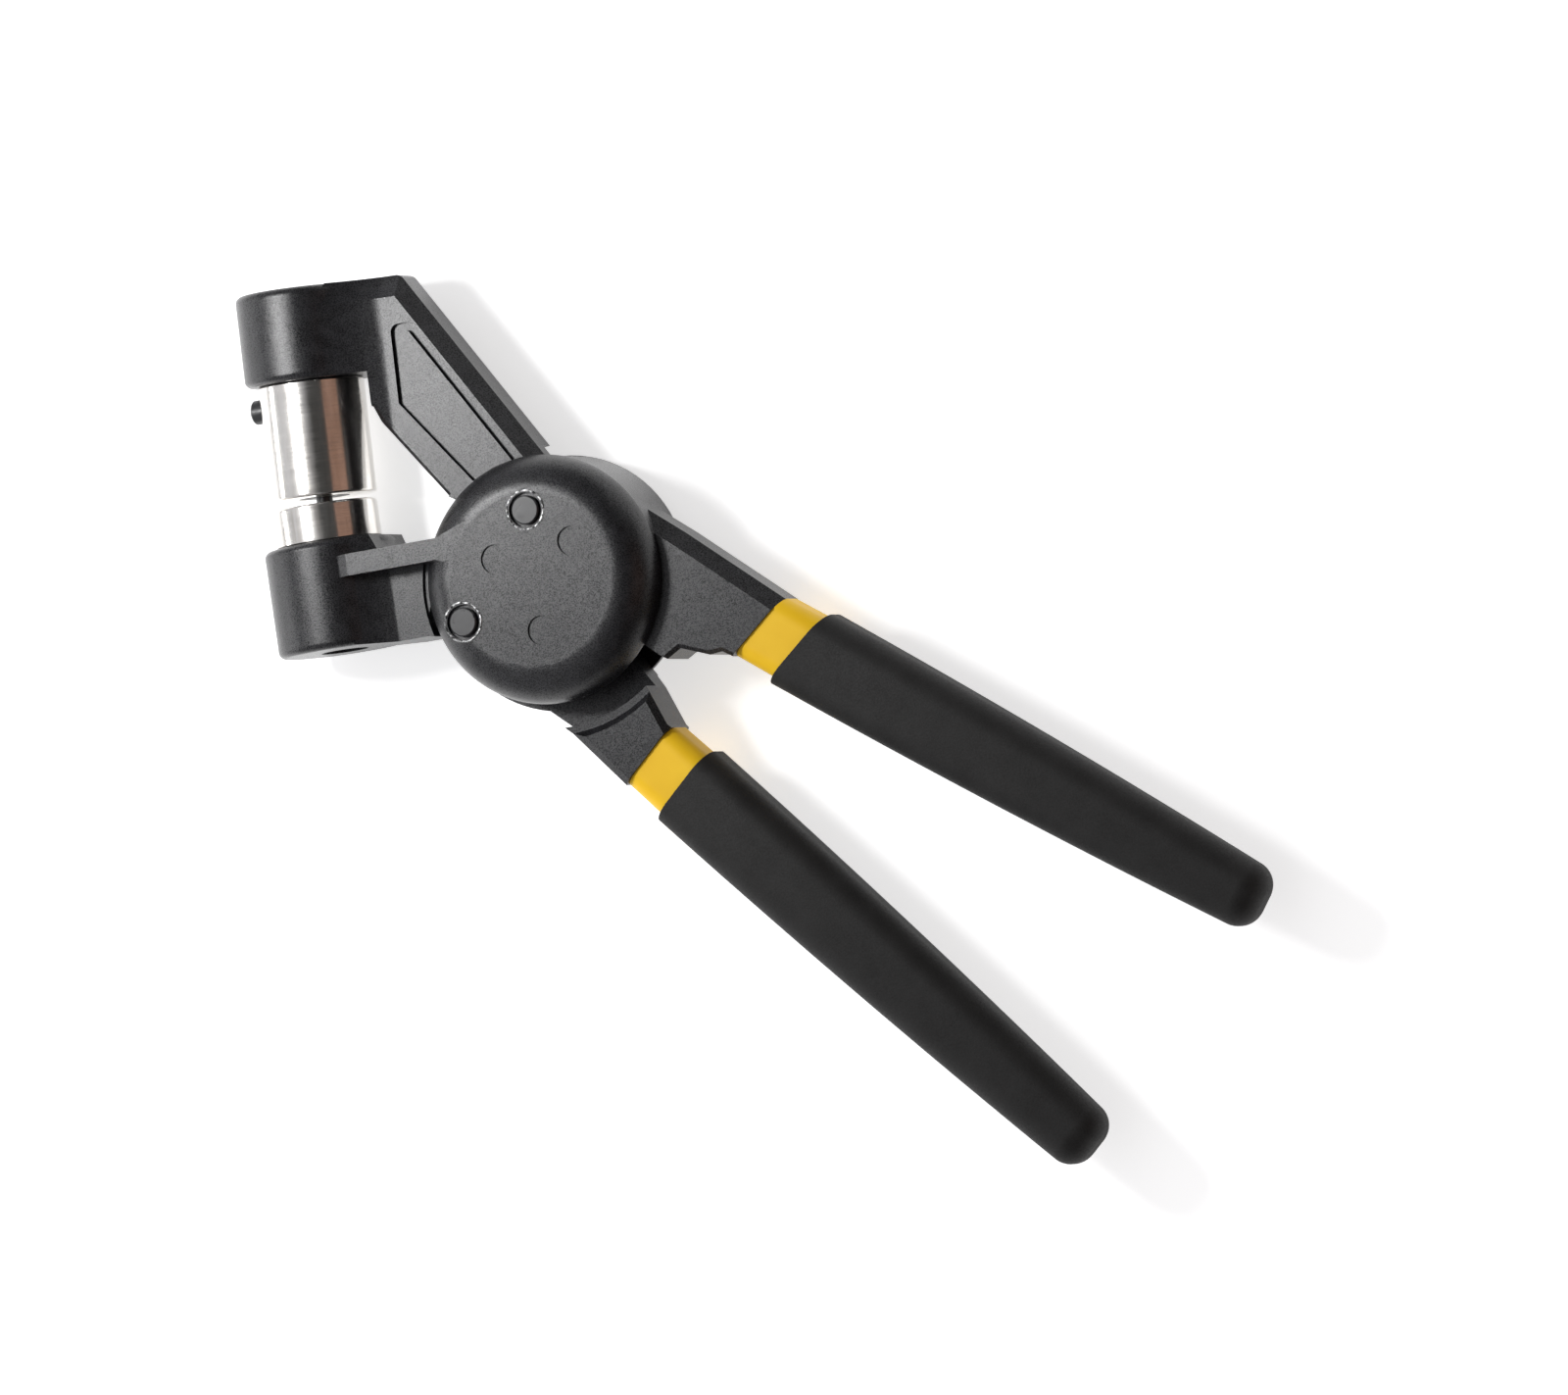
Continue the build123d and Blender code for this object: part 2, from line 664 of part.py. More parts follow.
def upper_arm():
    """The upper barrel and its sloped arm, drawn with the dies closed."""
    corner = (arm_corner[0], upper_barrel_top)
    side_x = die_x + upper_barrel_r + arm_side_gap
    root_end = arm_edge(arm_root_reach)
    points = [
        (die_x, upper_barrel_bottom),
        (side_x - 0.1, upper_barrel_bottom),
        (side_x, arm_elbow_y + 3.5),
        (side_x + 1.0, arm_elbow_y),
        arm_root_inner,
        (jaw_pivot[0] - 4, jaw_pivot[1] - 3),
        (jaw_pivot[0] + 3, jaw_pivot[1]),
        root_end,
        corner,
        (die_x, upper_barrel_top),
    ]
    bevel_y = upper_barrel_top - arm_top_bevel
    section = blended_section(upper_barrel_r, plate_half, arm_blend_x, plate_end)
    thin = blended_section(upper_barrel_r, plate_half - bevel_depth, arm_blend_x, plate_end)
    body = blended_body(upper_barrel_r, plate_half, arm_blend_x, plate_end, 0, bevel_y)
    body += loft([across(section, bevel_y), across(thin, upper_barrel_top)], ruled=True)
    height = upper_barrel_r + 2
    radii = [0.01, 0.01, 3, 3, 0.01, 0.01, 0.01, 0.01, arm_corner[1], 0.01]
    body &= prism(outline(points, radii), -height, height)
    body -= bevel_cutters(points[7], points[8], bevel_width, bevel_depth, before=2, after=4)
    body -= bevel_cutters(points[3], points[4], thin_bevel, thin_bevel, before=3)
    body += rod(upper_barrel_r, upper_barrel_bottom, upper_barrel_top, barrel_rounding)
    left = die_x + arm_blend_x + groove_from_blend
    slope = (corner[0] - arm_root_outer[0]) / (corner[1] - arm_root_outer[1])
    edge_inset = (bevel_width + groove_from_side) * hypot(1, slope)
    right = arm_root_outer[0] - edge_inset
    top = upper_barrel_top - groove_from_top
    low = arm_root_outer[1] - groove_low
    loop = [
        (arm_root_inner[0] + groove_start[0], arm_root_inner[1] + groove_start[1]),
        (right - slope * groove_low, low),
        (right + slope * (top - arm_root_outer[1]), top),
        (left, top),
        (left, arm_elbow_y + groove_above_elbow),
    ]
    inner = inset_outline(loop, [0.0, groove_narrow, groove_wide, groove_wide, groove_wide])
    groove = outline(loop, [0.01, 0.01, 1.2, 1.6, 0.5]) - outline(inner, [0.01, 0.01, 0.8, 0.8, 0.5])
    body -= prism(groove, plate_half - groove_depth, plate_half + 1)
    body -= mirror(prism(groove, plate_half - groove_depth, plate_half + 1), Plane.XY)
    shank_end = upper_barrel_bottom + holder_shank_length
    body -= rod(holder_shank_r + seat_clearance, upper_barrel_bottom - 1, shank_end + 0.5)
    body -= rod(cap_screw_r + seat_clearance, upper_barrel_bottom, upper_barrel_top + 1)
    body -= rod(cap_head_r + 0.2, upper_barrel_top - cap_head_recess, upper_barrel_top + 1)
    return body


def upper_jaw_arm():
    """The whole upper jaw casting, turned open to its rest position."""
    body = turned(upper_arm(), jaw_pivot, -rest_open)
    path = slot_path()
    half_slot = roller_r + slot_clearance
    circles = Pos(*jaw_pivot) * Circle(jaw_boss_r)
    for spot in (path[0], path[2]):
        circles += Pos(*spot) * Circle(half_slot + slot_wall)
    web = make_hull(circles.edges())
    body -= post((0, 0), hub_r + jaw_step_gap, -plate_half - 1, web_gap)
    body += prism(web, web_gap, plate_half)
    slot = SlotArc(ThreePointArc(*path), 2 * half_slot)
    body -= prism(slot, -1, plate_half + 1)
    body -= post(jaw_pivot, pin_r + running_clearance + bush_wall + seat_clearance, -1, plate_half + 1)
    return body + post(spring_post(), spring_post_r, plate_half - 1, plate_half + 2.2)


def closed_to_rest(shape):
    """A piece of the upper jaw, drawn with the dies closed, at rest."""
    return turned(shape, jaw_pivot, -rest_open)


def holder_bottom():
    """The lower end of the upper die's holder."""
    return upper_barrel_bottom - holder_length


def upper_die_holder():
    """The sleeve under the upper barrel that takes the setting punch."""
    low = holder_bottom()
    body = rod(die_r, low, upper_barrel_bottom, die_edge)
    body += rod(holder_shank_r, upper_barrel_bottom - 0.5, upper_barrel_bottom + holder_shank_length)
    body -= rod(punch_r + seat_clearance, low - 1, low + punch_length + 0.2)
    thread = upper_barrel_bottom + holder_shank_length
    body -= rod(cap_screw_r + seat_clearance, thread - 7, thread + 1)
    hole = Cylinder(set_screw_r + seat_clearance, die_r + 2, align=standing)
    body -= Pos(die_x, upper_barrel_bottom - set_screw_drop, 0) * Rot(0, -90, 0) * hole
    return closed_to_rest(body)


def holder_screw():
    """The screw down through the upper barrel that holds the sleeve."""
    seat = upper_barrel_top - cap_head_recess
    return closed_to_rest(cap_screw(seat, -1, seat - upper_barrel_bottom - holder_shank_length + 6))


def upper_die():
    """The setting punch, with a small nose that spreads the snap's post."""
    low = holder_bottom()
    body = rod(punch_r, low, low + punch_length)
    body += rod(punch_tip_r, low - punch_tip_length, low + 0.5)
    return closed_to_rest(body)


def die_set_screw():
    """The black screw in the side of the sleeve that locks the punch."""
    length = die_r + set_screw_proud - punch_r - seat_clearance
    screw = Cylinder(set_screw_r, length, align=standing)
    screw = chamfer(screw.edges().filter_by(GeomType.CIRCLE), 0.4)
    screw -= Pos(0, 0, length - 1.8) * hex_socket(set_screw_socket_r, 2)
    place = Pos(die_x - punch_r - seat_clearance, upper_barrel_bottom - set_screw_drop, 0) * Rot(0, -90, 0)
    return closed_to_rest(place * screw)


def bush(pivot, low, high):
    """A bronze bush in a web, running on its pivot pin."""
    inner = pin_r + running_clearance
    return post(pivot, inner + bush_wall, low, high) - post(pivot, inner, low - 1, high + 1)


def lever_outline():
    """The lever from its rounded boss round the hub to its band."""
    inner = lever_inner_edge()
    reach = hub_r + cover_gap
    band_low = along(lever_band_at, lever_axis_angle, 0, -band_width / 2)
    band_high = along(lever_band_at, lever_axis_angle, 0, band_width / 2)
    shoulder = (band_low[0] + lever_shoulder[0], band_low[1] + lever_shoulder[1])
    hub_edge = [along((0, 0), angle, reach) for angle in (204, 230, 257)]
    web_out = (drive_pin_at[0] + lever_web_out[0], drive_pin_at[1] + lever_web_out[1])
    web_in = (drive_pin_at[0] + lever_web_in[0], drive_pin_at[1] + lever_web_in[1])
    boss_top = (lever_pivot[0], lever_pivot[1] + lever_boss_r * 0.8)
    edges = [
        ThreePointArc(*hub_edge),
        Line(hub_edge[2], shoulder),
        Line(shoulder, band_low),
        Line(band_low, band_high),
        Line(band_high, inner[1]),
        Line(inner[1], inner[0]),
        Line(inner[0], web_out),
        Line(web_out, web_in),
        Line(web_in, boss_top),
        Line(boss_top, hub_edge[0]),
    ]
    return make_face(edges)


def handle_lever():
    """The moving lever: a half-thick web inside the hub, full thickness outside it, then a tang."""
    body = prism(lever_outline(), -plate_half, plate_half)
    band_low = along(lever_band_at, lever_axis_angle, 0, -band_width / 2)
    shoulder = (band_low[0] + lever_shoulder[0], band_low[1] + lever_shoulder[1])
    inner = lever_inner_edge()
    body -= bevel_cutters(shoulder, band_low, thin_bevel * 2, thin_bevel * 1.5, before=8, after=3)
    body -= bevel_cutters(inner[1], inner[0], thin_bevel * 1.5, thin_bevel * 1.5, before=3, after=3)
    body += post(lever_pivot, lever_boss_r, -plate_half, -web_gap)
    ledge_z = plate_half - lever_ledge_drop
    body -= post((0, 0), hub_r + lever_step_gap, -web_gap, plate_half + 1)
    body -= dish(hub_r + lever_step_gap, ledge_z, lever_ledge_drop)
    body -= dish(hub_r + lever_step_gap + lever_ledge, plate_half, lever_ledge_drop)
    body -= post(lever_pivot, lever_boss_r + 1, -web_gap, plate_half + 1)
    body -= post(lever_pivot, pin_r + running_clearance + bush_wall + seat_clearance, -plate_half - 1, 0)
    body -= post(drive_pin_at, drive_pin_r + seat_clearance, -plate_half - 1, 0)
    return body + tang(lever_band_at, lever_axis_angle, band_length + lever_grip_length)


def drive_pin():
    """The pin on the lever that carries the roller."""
    return post(drive_pin_at, drive_pin_r, -plate_half, plate_half - 0.05)


def drive_roller():
    """The roller that runs in the jaw's slot."""
    low = web_gap + roller_side_gap
    high = plate_half - roller_side_gap
    hole = drive_pin_r + running_clearance
    return post(drive_pin_at, roller_r, low, high) - post(drive_pin_at, hole, low - 1, high + 1)


def behind(start, angle, skew):
    """A block that holds everything behind a line across the handle, turned by the skew."""
    size = grip_width * 2
    block = Box(size, size * 2, size, align=(Align.MAX, Align.CENTER, Align.CENTER))
    return Pos(start[0], start[1], 0) * Rot(0, 0, angle - skew) * block


def grip_liner(start, angle, skew, grip_length):
    """The yellow liner: a band that shows, then a thinner sleeve under the grip."""
    black_start = along(start, angle, band_length)
    lead = band_width * tan(radians(skew)) / 2 + 0.1
    band = sleeve(start, angle, [
        (-lead, band_width, band_thickness, 0.6),
        (band_length + lead, band_width + 0.4, band_thickness + 0.3, 0.66),
    ])
    band -= behind(start, angle, skew)
    band &= behind(black_start, angle, skew)
    under = sleeve(black_start, angle, grip_stations(grip_length, grip_skin, -lead))
    under -= behind(black_start, angle, skew)
    return band + under - tang(start, angle, band_length + grip_length)


def grip(start, angle, skew, grip_length):
    """The black grip, closed and rounded at its end."""
    black_start = along(start, angle, band_length)
    lead = band_width * tan(radians(skew)) / 2 + 0.1
    outer = sleeve(black_start, angle, grip_stations(grip_length, 0.0, -lead - 1))
    outer = rounded_end(outer, black_start, angle, grip_length, grip_end_rounding)
    outer -= behind(black_start, angle, skew)
    return outer - sleeve(black_start, angle, grip_stations(grip_length, grip_skin, -lead))


def all_nodes():
    """Every piece by name, in the drawing's frame at rest."""
    fixed_handle = (fixed_band_at, fixed_axis_angle, fixed_band_skew, fixed_grip_length)
    lever_handle = (lever_band_at, lever_axis_angle, lever_band_skew, lever_grip_length)
    return {
        "lower_jaw_frame": lower_jaw_frame(),
        "hub_cover": hub_cover(),
        "jaw_pivot_pin": pivot_pin(jaw_pivot),
        "lever_pivot_pin": pivot_pin(lever_pivot),
        "pin_clips": pin_clips(),
        "cover_screws": cover_screws(),
        "return_spring": coil_spring(),
        "lower_die": lower_die(),
        "lower_die_screw": lower_die_screw(),
        "fixed_grip_liner": grip_liner(*fixed_handle),
        "fixed_grip": grip(*fixed_handle),
        "upper_jaw_arm": upper_jaw_arm(),
        "upper_die_holder": upper_die_holder(),
        "holder_screw": holder_screw(),
        "upper_die": upper_die(),
        "die_set_screw": die_set_screw(),
        "jaw_bush": bush(jaw_pivot, web_gap, plate_half),
        "handle_lever": handle_lever(),
        "lever_bush": bush(lever_pivot, -plate_half, -web_gap),
        "drive_pin": drive_pin(),
        "drive_roller": drive_roller(),
        "lever_grip_liner": grip_liner(*lever_handle),
        "lever_grip": grip(*lever_handle),
    }


def base_shift(pieces):
    """The move that puts the origin under the middle of the whole tool."""
    boxes = [piece.bounding_box() for piece in pieces.values()]
    middle_x = (min(box.min.X for box in boxes) + max(box.max.X for box in boxes)) / 2
    middle_y = (min(box.min.Y for box in boxes) + max(box.max.Y for box in boxes)) / 2
    return (-middle_x, -middle_y, -min(box.min.Z for box in boxes))


nodes = all_nodes()
shift = base_shift(nodes)
os.makedirs("parts", exist_ok=True)
for name, shape in nodes.items():
    export_step(Pos(*shift) * shape, f"parts/{name}.step")
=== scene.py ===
import json
from math import cos, radians, sin

import bpy
from mathutils import Matrix, Vector


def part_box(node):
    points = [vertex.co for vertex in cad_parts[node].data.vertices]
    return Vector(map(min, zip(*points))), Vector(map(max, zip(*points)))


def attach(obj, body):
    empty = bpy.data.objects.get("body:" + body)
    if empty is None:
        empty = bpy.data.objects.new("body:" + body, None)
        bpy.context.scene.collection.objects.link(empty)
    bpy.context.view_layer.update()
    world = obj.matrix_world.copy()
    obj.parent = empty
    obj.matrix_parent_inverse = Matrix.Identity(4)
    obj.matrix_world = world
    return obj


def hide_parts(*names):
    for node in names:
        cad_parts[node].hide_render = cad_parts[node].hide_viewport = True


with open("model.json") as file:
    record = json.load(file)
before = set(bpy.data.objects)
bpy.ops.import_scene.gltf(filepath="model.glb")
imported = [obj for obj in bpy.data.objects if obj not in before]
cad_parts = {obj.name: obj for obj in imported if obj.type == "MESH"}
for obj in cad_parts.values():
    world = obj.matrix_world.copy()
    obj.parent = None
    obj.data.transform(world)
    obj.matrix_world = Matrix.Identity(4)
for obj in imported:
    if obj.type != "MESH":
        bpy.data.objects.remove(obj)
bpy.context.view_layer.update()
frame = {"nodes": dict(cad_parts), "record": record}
MM = 0.001


def hub_centre():
    """The hub's centre, halfway between the lever's web and the jaw's web."""
    low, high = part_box("hub_cover")
    radius = (high.y - low.y) / 2
    middle = (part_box("lever_bush")[1].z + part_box("jaw_bush")[0].z) / 2
    return Vector((high.x - radius, (low.y + high.y) / 2, middle))


HUB = hub_centre()


# ---------------------------------------------------------------- camera, lamps and floor

VIEW_WIDTH = 301.9 * MM
VIEW_ROLL = radians(9.0)
VIEW_TILT = radians(22.0)
CAMERA_AWAY = 3.0
CENTRE_RIGHT = 43.4 * MM
CENTRE_DOWN = 22.7 * MM
SENSOR = 36.0
FLOOR_SIZE = 6.0
FLOOR_WHITE = 0.92
FLOOR_GLOW = 0.62
SKY_LEFT = (0.62, 0.62, 0.64, 1)
SKY_RIGHT = (0.06, 0.06, 0.06, 1)

view_across = Vector((cos(VIEW_ROLL), -sin(VIEW_ROLL), 0))
view_up = Vector((sin(VIEW_ROLL), cos(VIEW_ROLL), 0))
view_right = view_across * cos(VIEW_TILT) - Vector((0, 0, sin(VIEW_TILT)))
view_back = view_across * sin(VIEW_TILT) + Vector((0, 0, cos(VIEW_TILT)))


def aimed(place, target, up):
    """Where a camera or lamp at a place goes so that it faces its target."""
    back = (place - target).normalized()
    right = up.cross(back).normalized()
    true_up = back.cross(right)
    turn = Matrix((right, true_up, back)).transposed().to_4x4()
    return Matrix.Translation(place) @ turn


def add_camera():
    """A long lens over the hub, turned to the tool's own slant."""
    target = HUB + view_right * CENTRE_RIGHT - view_up * CENTRE_DOWN
    data = bpy.data.cameras.new("camera")
    data.sensor_width = SENSOR
    data.lens = SENSOR * CAMERA_AWAY / VIEW_WIDTH
    data.clip_start = 0.05
    camera = bpy.data.objects.new("camera", data)
    bpy.context.scene.collection.objects.link(camera)
    camera.matrix_world = aimed(target + view_back * CAMERA_AWAY, target, view_up)
    bpy.context.scene.camera = camera


def add_softbox(name, offset, width, height, power, aim=(0, 0, 0), tint=(1, 1, 1)):
    """A rectangular lamp, placed and aimed from the hub."""
    data = bpy.data.lights.new(name, "AREA")
    data.shape = "RECTANGLE"
    data.size = width
    data.size_y = height
    data.energy = power
    data.color = tint
    lamp = bpy.data.objects.new(name, data)
    bpy.context.scene.collection.objects.link(lamp)
    lamp.matrix_world = aimed(HUB + Vector(offset), HUB + Vector(aim), Vector((0, 1, 0)))


def add_lamps():
    """A close lamp over the jaws and low ones at the sides."""
    add_softbox("key", (-0.125, 0.075, 0.22), 0.045, 0.065, 0.50, aim=(-0.03, 0.05, 0))
    add_softbox("warm", (0.80, -0.12, 0.46), 0.60, 0.5, 0.30, tint=(1.0, 0.52, 0.34))
    add_softbox("left", (-0.95, -0.05, 0.22), 0.10, 0.5, 1.3)
    add_softbox("right", (0.75, 0.85, 0.06), 1.0, 0.12, 0.8)
    bpy.context.scene.view_settings.view_transform = "Standard"


def add_sky():
    """A plain room that darkens from left to right, so that the castings' right-hand slopes stay black."""
    world = bpy.data.worlds.new("studio")
    bpy.context.scene.world = world
    world.use_nodes = True
    nodes = world.node_tree.nodes
    links = world.node_tree.links
    sky = nodes["Background"]
    coords = nodes.new("ShaderNodeTexCoord")
    split = nodes.new("ShaderNodeSeparateXYZ")
    ramp = nodes.new("ShaderNodeValToRGB")
    ramp.color_ramp.elements[0].position = 0.40
    ramp.color_ramp.elements[0].color = SKY_LEFT
    ramp.color_ramp.elements[1].position = 0.62
    ramp.color_ramp.elements[1].color = SKY_RIGHT
    links.new(coords.outputs["Generated"], split.inputs["Vector"])
    across = nodes.new("ShaderNodeMapRange")
    across.inputs["From Min"].default_value = -1.0
    across.inputs["From Max"].default_value = 1.0
    links.new(split.outputs["X"], across.inputs["Value"])
    links.new(across.outputs["Result"], ramp.inputs["Fac"])
    links.new(ramp.outputs["Color"], sky.inputs["Color"])
    sky.inputs["Strength"].default_value = 1.0


def add_floor():
    """A matt white board with a little light of its own, so that shadows stay soft."""
    bpy.ops.object.select_all(action="DESELECT")
    bpy.ops.mesh.primitive_plane_add(size=FLOOR_SIZE, location=(0, 0, 0))
    floor = bpy.context.active_object
    floor.name = "floor"
    paint = bpy.data.materials.new("pale_floor")
    paint.use_nodes = True
    shader = paint.node_tree.nodes["Principled BSDF"]
    shader.inputs["Base Color"].default_value = (FLOOR_WHITE, FLOOR_WHITE, FLOOR_WHITE, 1)
    shader.inputs["Roughness"].default_value = 0.95
    shader.inputs["Specular IOR Level"].default_value = 0.1
    shader.inputs["Emission Color"].default_value = (1, 1, 1, 1)
    shader.inputs["Emission Strength"].default_value = FLOOR_GLOW
    floor.data.materials.append(paint)


# ---------------------------------------------------------------- finishes


def new_finish(name, colour, roughness, metallic=0.0):
    """A material whose even values sit on the shader's own sockets."""
    finish = bpy.data.materials.new(name)
    finish.use_nodes = True
    shader = finish.node_tree.nodes["Principled BSDF"]
    shader.inputs["Base Color"].default_value = (*colour, 1)
    shader.inputs["Roughness"].default_value = roughness
    shader.inputs["Metallic"].default_value = metallic
    return finish


def add_noise(finish, scale, detail=3.0, rough=0.5, stretch=(1, 1, 1)):
    """A cloud pattern on the piece's own coordinates; scale is in cycles per metre."""
    nodes = finish.node_tree.nodes
    links = finish.node_tree.links
    place = nodes.new("ShaderNodeTexCoord")
    mapping = nodes.new("ShaderNodeMapping")
    mapping.inputs["Scale"].default_value = stretch
    noise = nodes.new("ShaderNodeTexNoise")
    noise.inputs["Scale"].default_value = scale
    noise.inputs["Detail"].default_value = detail
    noise.inputs["Roughness"].default_value = rough
    links.new(place.outputs["Object"], mapping.inputs["Vector"])
    links.new(mapping.outputs["Vector"], noise.inputs["Vector"])
    return noise.outputs["Fac"]


def add_ramp(finish, value, low, high, low_colour, high_colour):
    """Runs a pattern through two colours, between two of its levels."""
    nodes = finish.node_tree.nodes
    ramp = nodes.new("ShaderNodeValToRGB")
    ramp.color_ramp.elements[0].position = low
    ramp.color_ramp.elements[0].color = (*low_colour, 1)
    ramp.color_ramp.elements[1].position = high
    ramp.color_ramp.elements[1].color = (*high_colour, 1)
    finish.node_tree.links.new(value, ramp.inputs["Fac"])
    return ramp.outputs["Color"]


def add_bump(finish, value, height, strength, under=None):
    """Raises the surface by a pattern; height is in metres."""
    nodes = finish.node_tree.nodes
    links = finish.node_tree.links
    bump = nodes.new("ShaderNodeBump")
    bump.inputs["Distance"].default_value = height
    bump.inputs["Strength"].default_value = strength
    links.new(value, bump.inputs["Height"])
    if under is not None:
        links.new(under, bump.inputs["Normal"])
    links.new(bump.outputs["Normal"], nodes["Principled BSDF"].inputs["Normal"])
    return bump.outputs["Normal"]


def feed(finish, value, socket):
    """Drives one of the shader's sockets with a pattern."""
    finish.node_tree.links.new(value, finish.node_tree.nodes["Principled BSDF"].inputs[socket])


def grey(level):
    """A neutral colour."""
    return (level, level, level)


def set_gloss(finish, level):
    """How strongly a finish mirrors what is round it."""
    finish.node_tree.nodes["Principled BSDF"].inputs["Specular IOR Level"].default_value = level


def black_enamel():
    """Stove enamel over sand-cast metal: black, with fine grains that catch light and slow waves below."""
    finish = new_finish("black_enamel_on_casting", (0.010, 0.010, 0.011), 0.34)
    grains = add_noise(finish, 3600, 5.0, 0.8)
    patches = add_noise(finish, 420, 3.0, 0.55)
    tone = add_ramp(finish, patches, 0.35, 0.7, (0.007, 0.007, 0.008), (0.016, 0.016, 0.018))
    feed(finish, tone, "Base Color")
    feed(finish, add_ramp(finish, grains, 0.42, 0.66, grey(0.24), grey(0.42)), "Roughness")
    feed(finish, add_ramp(finish, grains, 0.40, 0.62, grey(0.24), grey(0.80)), "Specular IOR Level")
    waves = add_bump(finish, patches, 0.00010, 0.07)
    add_bump(finish, grains, 0.00006, 0.6, waves)
    return finish


def glint_spotted_rim():
    """Metal pushed up round a pin: lighter metal spots on its raised points are a painted highlight
    standing in for glints, near-black in its low points.
    """
    finish = new_finish("painted_glint_metal_rim", (0.20, 0.20, 0.20), 0.3, 0.7)
    spots = add_noise(finish, 1500, 3.0, 0.6)
    # Painted highlight: the lighter grey spots stand in for glints on the ring, and the near-black ones
    # sit in its low points.
    feed(finish, add_ramp(finish, spots, 0.42, 0.60, grey(0.02), grey(0.62)), "Base Color")
    add_bump(finish, spots, 0.00005, 0.6)
    return finish


def bright_chrome():
    """Turned and plated steel: fine rings round the axis and a faint warm cast."""
    finish = new_finish("bright_chrome", (0.74, 0.72, 0.69), 0.13, 1.0)
    rings = add_noise(finish, 240, 3.0, 0.6, (1, 22, 1))
    tone = add_noise(finish, 110, 2.0, 0.5, (5, 0.6, 5))
    feed(finish, add_ramp(finish, tone, 0.35, 0.65, (0.66, 0.63, 0.59), (0.82, 0.80, 0.77)), "Base Color")
    feed(finish, add_ramp(finish, rings, 0.3, 0.7, grey(0.10), grey(0.24)), "Roughness")
    add_bump(finish, rings, 0.00002, 0.25)
    return finish


def plain_metal(name, colour, roughness, spread, metallic=1.0):
    """Bare or oiled metal with a slightly uneven polish."""
    finish = new_finish(name, colour, roughness, metallic)
    clouds = add_noise(finish, 700, 3.0, 0.6)
    dark = tuple(c * 0.8 for c in colour)
    light = tuple(min(1.0, c * 1.2) for c in colour)
    feed(finish, add_ramp(finish, clouds, 0.3, 0.7, dark, light), "Base Color")
    polish = add_ramp(finish, clouds, 0.3, 0.7, grey(roughness - spread), grey(roughness + spread))
    feed(finish, polish, "Roughness")
    add_bump(finish, clouds, 0.00002, 0.4)
    return finish


def yellow_dip():
    """Yellow dipped vinyl: even, satin, with a faint orange skin."""
    finish = new_finish("yellow_dipped_vinyl", (0.96, 0.60, 0.02), 0.46)
    skin = add_noise(finish, 900, 2.0, 0.5)
    cloud = add_noise(finish, 130, 2.0, 0.5)
    feed(finish, add_ramp(finish, cloud, 0.3, 0.7, (0.92, 0.55, 0.010), (0.98, 0.61, 0.016)), "Base Color")
    set_gloss(finish, 0.25)
    add_bump(finish, skin, 0.00003, 0.35)
    return finish


def black_dip():
    """Black dipped vinyl: matt, with a fine pebble that reads as cloth from afar."""
    finish = new_finish("black_dipped_vinyl", (0.011, 0.0105, 0.010), 0.66)
    pebble = add_noise(finish, 3200, 2.0, 0.55)
    cloud = add_noise(finish, 160, 3.0, 0.6)
    tone = add_ramp(finish, cloud, 0.3, 0.72, (0.0095, 0.009, 0.0085), (0.017, 0.0165, 0.016))
    feed(finish, tone, "Base Color")
    feed(finish, add_ramp(finish, pebble, 0.35, 0.7, grey(0.58), grey(0.74)), "Roughness")
    set_gloss(finish, 0.35)
    add_bump(finish, pebble, 0.00006, 0.6)
    return finish


finishes = {
    "casting": black_enamel(),
    "chrome": bright_chrome(),
    "steel": plain_metal("oiled_steel", (0.09, 0.09, 0.09), 0.38, 0.08),
    "black_oxide": plain_metal("blackened_screw", (0.016, 0.016, 0.017), 0.34, 0.08, 0.0),
    "spring_steel": plain_metal("spring_wire", (0.40, 0.39, 0.37), 0.30, 0.08),
    "bronze": plain_metal("bronze_bush", (0.46, 0.30, 0.14), 0.38, 0.08),
    "yellow_vinyl": yellow_dip(),
    "black_vinyl": black_dip(),
}


def finish_cad_nodes():
    """Gives every carried-over node its finish."""
    for part in frame["record"]["subparts"]:
        node = frame["nodes"][part["node"]]
        node.data.materials.clear()
        node.data.materials.append(finishes[part["material_slot"]])


# Ring finish whose lighter spots are a painted highlight standing in for glints.
painted_glint_metal = glint_spotted_rim()


# ---------------------------------------------------------------- castings with softened edges

CASTING_EDGE = 0.4 * MM
SAME_POINT = 0.01 * MM
SAME_FACE = radians(0.6)
SHARP_EDGE = radians(28)
SMOOTH_EDGE = radians(40)
RING_R = 3.75 * MM
RING_BEAD = 0.32 * MM
RING_SINK = 0.12 * MM
RING_LUMP = 1.4 * MM
RING_UNEVEN = 0.32 * MM
RING_MOSTLY_BELOW = 0.75


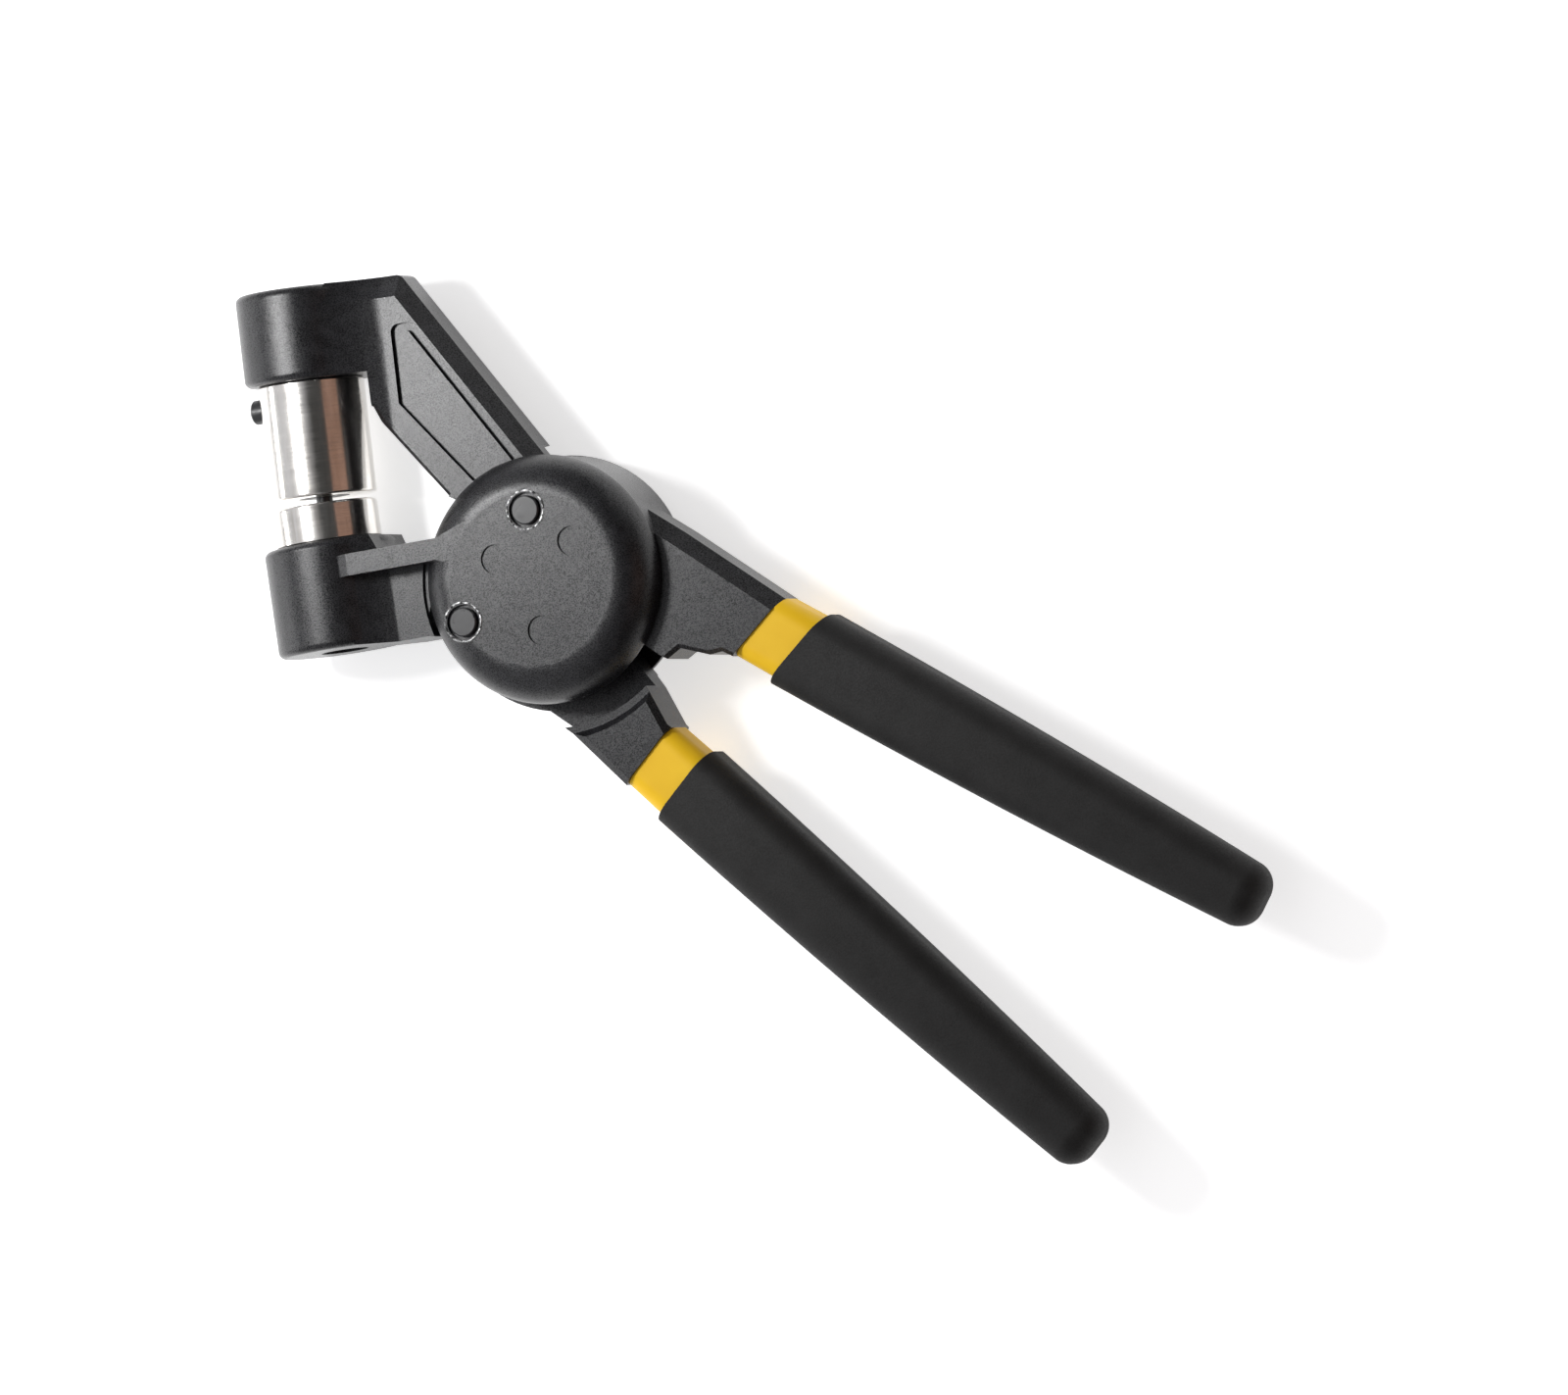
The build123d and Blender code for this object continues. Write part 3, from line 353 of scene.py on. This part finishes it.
def softened_copy(node, body):
    """A cast node's shape with its joined faces kept flat and every corner rounded over."""
    source = frame["nodes"][node]
    piece = source.copy()
    piece.data = source.data.copy()
    piece.name = node + "_casting"
    bpy.context.scene.collection.objects.link(piece)
    bpy.ops.object.select_all(action="DESELECT")
    bpy.context.view_layer.objects.active = piece
    piece.select_set(True)
    bpy.ops.object.mode_set(mode="EDIT")
    bpy.ops.mesh.select_all(action="SELECT")
    bpy.ops.mesh.remove_doubles(threshold=SAME_POINT)
    bpy.ops.mesh.dissolve_limited(angle_limit=SAME_FACE)
    bpy.ops.object.mode_set(mode="OBJECT")
    bevel = piece.modifiers.new("softened", "BEVEL")
    bevel.limit_method = "ANGLE"
    bevel.angle_limit = SHARP_EDGE
    bevel.width = CASTING_EDGE
    bevel.segments = 2
    bevel.use_clamp_overlap = True
    bpy.ops.object.modifier_apply(modifier=bevel.name)
    bpy.ops.object.shade_smooth_by_angle(angle=SMOOTH_EDGE)
    even = piece.modifiers.new("flat_faces", "WEIGHTED_NORMAL")
    even.keep_sharp = True
    bpy.ops.object.modifier_apply(modifier=even.name)
    piece.data.materials.clear()
    piece.data.materials.append(finishes["casting"])
    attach(piece, body)
    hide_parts(node)


def staked_ring(node, body):
    """The uneven bead of metal pushed up round a pin's end where it was riveted over."""
    low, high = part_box(node)
    bpy.ops.object.select_all(action="DESELECT")
    bpy.ops.mesh.primitive_torus_add(
        major_segments=96, minor_segments=12, major_radius=RING_R, minor_radius=RING_BEAD,
        location=((low.x + high.x) / 2, (low.y + high.y) / 2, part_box("hub_cover")[1].z - RING_SINK),
    )
    ring = bpy.context.active_object
    ring.name = node + "_staked_ring"
    bpy.ops.object.transform_apply(location=True, rotation=True, scale=True)
    lumps = bpy.data.textures.new(node + "_lumps", "CLOUDS")
    lumps.noise_scale = RING_LUMP
    uneven = ring.modifiers.new("uneven", "DISPLACE")
    uneven.texture = lumps
    uneven.strength = RING_UNEVEN
    uneven.mid_level = RING_MOSTLY_BELOW
    bpy.ops.object.modifier_apply(modifier=uneven.name)
    bpy.ops.object.shade_smooth()
    ring.data.materials.append(painted_glint_metal)
    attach(ring, body)


add_camera()
add_lamps()
add_sky()
add_floor()
finish_cad_nodes()
softened_copy("lower_jaw_frame", "frame")
softened_copy("hub_cover", "frame")
softened_copy("upper_jaw_arm", "upper_jaw")
softened_copy("handle_lever", "lever")
staked_ring("jaw_pivot_pin", "frame")
staked_ring("lever_pivot_pin", "frame")
